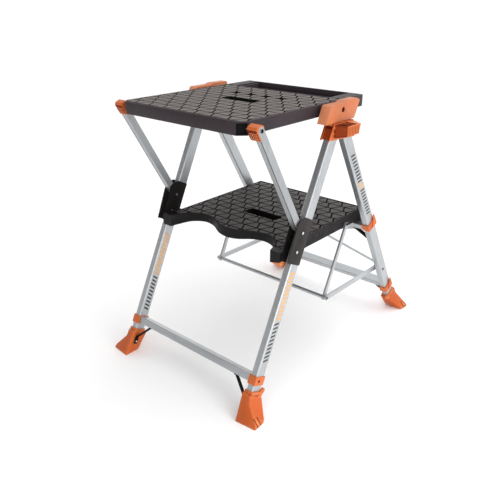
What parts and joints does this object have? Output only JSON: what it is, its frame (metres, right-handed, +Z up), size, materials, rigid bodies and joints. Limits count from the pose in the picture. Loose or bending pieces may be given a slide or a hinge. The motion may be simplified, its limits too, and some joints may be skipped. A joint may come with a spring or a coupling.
{
  "type": "folding work platform bench",
  "caption": "Folding work bench with a hinged upper table, a lower standing platform, splayed aluminium legs and flared feet.",
  "frame": {"origin": "on the floor, in the middle of the four feet", "axes": "+X to the right, +Y from the table's front to the rear legs, +Z up"},
  "size_m": [0.698, 1.034, 0.93],
  "materials": {
    "aluminium": "satin extruded",
    "table_resin": "moulded, fine texture",
    "platform_resin": "moulded, fine texture",
    "orange_plastic": "moulded satin",
    "black_steel": "powder coated",
    "zinc_steel": "zinc plated"
  },
  "bodies": {
    "front_frame": {"front_leg_right": "aluminium", "front_collar_right": "orange_plastic", "front_gusset_right": "black_steel", "front_boot_right": "orange_plastic", "bracket_plate_outer_right": "black_steel", "bracket_plate_inner_right": "black_steel", "bracket_rivet_upper_right": "zinc_steel", "bracket_rivet_lower_right": "zinc_steel", "platform_hinge_bolt_right": "zinc_steel", "head_right": "orange_plastic", "hinge_cheek_right": "orange_plastic", "table_hinge_pin_right": "zinc_steel", "leg_hinge_pin_right": "zinc_steel", "front_leg_left": "aluminium", "front_collar_left": "orange_plastic", "front_gusset_left": "black_steel", "front_boot_left": "orange_plastic", "bracket_plate_outer_left": "black_steel", "bracket_plate_inner_left": "black_steel", "bracket_rivet_upper_left": "zinc_steel", "bracket_rivet_lower_left": "zinc_steel", "platform_hinge_bolt_left": "zinc_steel", "head_left": "orange_plastic", "hinge_cheek_left": "orange_plastic", "table_hinge_pin_left": "zinc_steel", "leg_hinge_pin_left": "zinc_steel", "front_crossbar": "aluminium"},
    "rear_frame": {"rear_leg_right": "aluminium", "rear_collar_low_right": "orange_plastic", "rear_collar_mid_right": "orange_plastic", "rear_gusset_low_right": "black_steel", "rear_gusset_mid_right": "black_steel", "rear_diagonal_right": "aluminium", "rear_boot_right": "orange_plastic", "stay_pivot_pin_right": "zinc_steel", "rear_leg_left": "aluminium", "rear_collar_low_left": "orange_plastic", "rear_collar_mid_left": "orange_plastic", "rear_gusset_low_left": "black_steel", "rear_gusset_mid_left": "black_steel", "rear_diagonal_left": "aluminium", "rear_boot_left": "orange_plastic", "stay_pivot_pin_left": "zinc_steel", "rear_crossbar_low": "aluminium", "rear_crossbar_mid": "aluminium"},
    "table": {"work_table": "table_resin", "brace_pin_right": "zinc_steel", "brace_pin_left": "zinc_steel"},
    "brace_right": {"table_brace_right": "aluminium", "brace_cap_right": "orange_plastic"},
    "brace_left": {"table_brace_left": "aluminium", "brace_cap_left": "orange_plastic"},
    "platform": {"lower_platform": "platform_resin", "platform_catch": "orange_plastic"},
    "stay_frame": {"stay_frame": "aluminium"},
    "stay_link_right": {"stay_link_right": "aluminium"},
    "stay_link_left": {"stay_link_left": "aluminium"}
  },
  "joints": [
    {"name": "rear_fold", "type": "hinge", "parent": "front_frame", "child": "rear_frame", "pos_m": [0, -0.0028, 0.822], "axis": [-1, 0, 0], "range_deg": [0, 44]},
    {"name": "table_fold", "type": "hinge", "parent": "front_frame", "child": "table", "pos_m": [0, -0.043, 0.906], "axis": [1, 0, 0], "range_deg": [0, 50]},
    {"name": "brace_fold_right", "type": "hinge", "parent": "table", "child": "brace_right", "pos_m": [0.283, -0.4275, 0.903], "axis": [-1, 0, 0], "range_deg": [0, 99.5]},
    {"name": "brace_fold_left", "type": "hinge", "parent": "table", "child": "brace_left", "pos_m": [-0.283, -0.4275, 0.903], "axis": [-1, 0, 0], "range_deg": [0, 99.5]},
    {"name": "platform_fold", "type": "hinge", "parent": "front_frame", "child": "platform", "pos_m": [0, -0.25, 0.482], "axis": [1, 0, 0], "range_deg": [0, 46.2]},
    {"name": "stay_fold", "type": "hinge", "parent": "rear_frame", "child": "stay_frame", "pos_m": [0, 0.35, 0.219], "axis": [-1, 0, 0], "range_deg": [0, 46.42]},
    {"name": "stay_link_fold_right", "type": "hinge", "parent": "stay_frame", "child": "stay_link_right", "pos_m": [0.254, -0.015, 0.228], "axis": [1, 0, 0], "range_deg": [0, 81.45]},
    {"name": "stay_link_fold_left", "type": "hinge", "parent": "stay_frame", "child": "stay_link_left", "pos_m": [-0.254, -0.015, 0.228], "axis": [1, 0, 0], "range_deg": [0, 81.45]}
  ],
  "couplings": [
    {"joint": "brace_fold_right", "follows": "table_fold", "ratio": 1.99},
    {"joint": "brace_fold_left", "follows": "table_fold", "ratio": 1.99},
    {"joint": "platform_fold", "follows": "rear_fold", "ratio": 1.05},
    {"joint": "stay_fold", "follows": "rear_fold", "ratio": 1.055},
    {"joint": "stay_link_fold_right", "follows": "rear_fold", "ratio": 1.851},
    {"joint": "stay_link_fold_left", "follows": "rear_fold", "ratio": 1.851}
  ]
}
